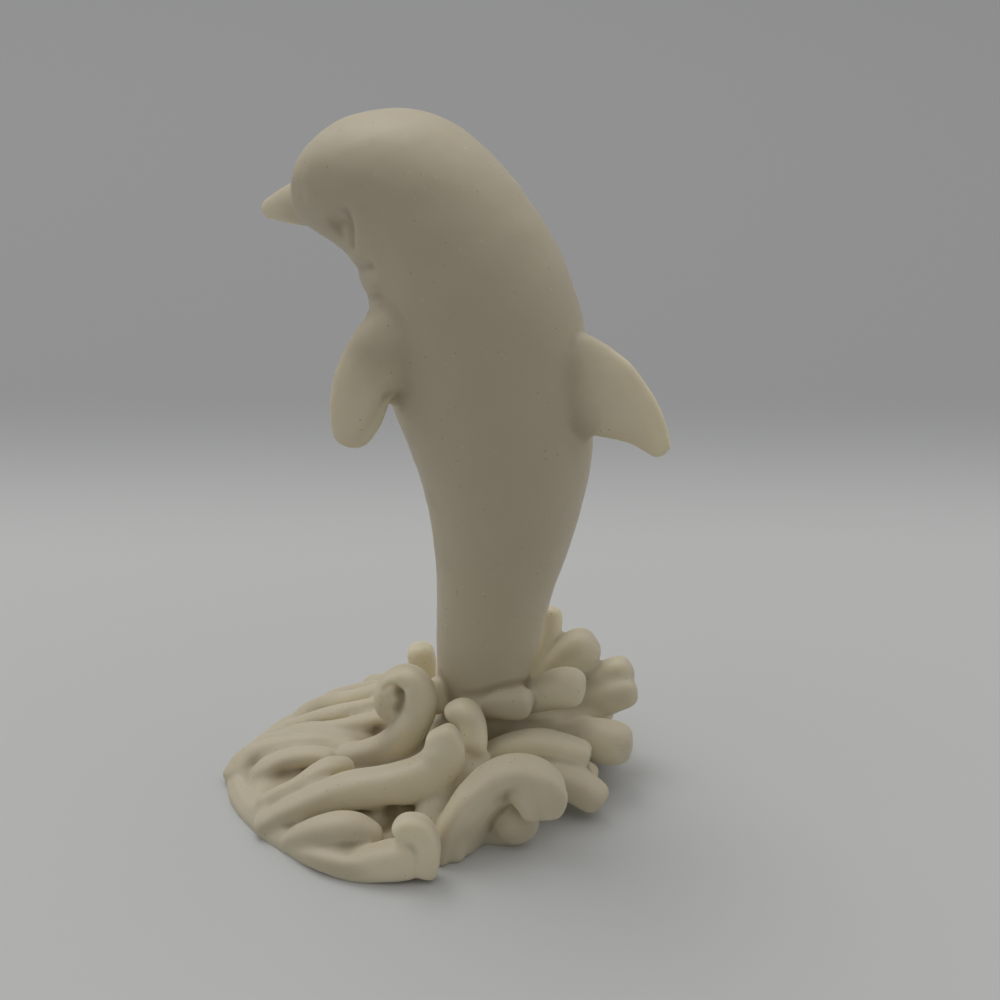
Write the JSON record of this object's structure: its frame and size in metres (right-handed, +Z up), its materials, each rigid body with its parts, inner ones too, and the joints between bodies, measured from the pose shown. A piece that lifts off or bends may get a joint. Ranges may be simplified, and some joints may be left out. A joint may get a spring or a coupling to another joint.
{
  "type": "alabaster dolphin sculpture",
  "caption": "Small alabaster sculpture of a dolphin that leaps upright out of a round swirl of curling waves, in a single piece with a flat underside.",
  "frame": {"origin": "middle of the round swirl's flat underside, on the surface that the sculpture stands on", "axes": "+Z up the dolphin's body, -X the way its beak points, +X the back fin's side, -Y the dolphin's left side, which the picture shows"},
  "size_m": [0.0742, 0.0716, 0.1168],
  "materials": {
    "alabaster": "satin"
  },
  "bodies": {
    "root": {"dolphin_sculpture": "alabaster"}
  },
  "joints": []
}
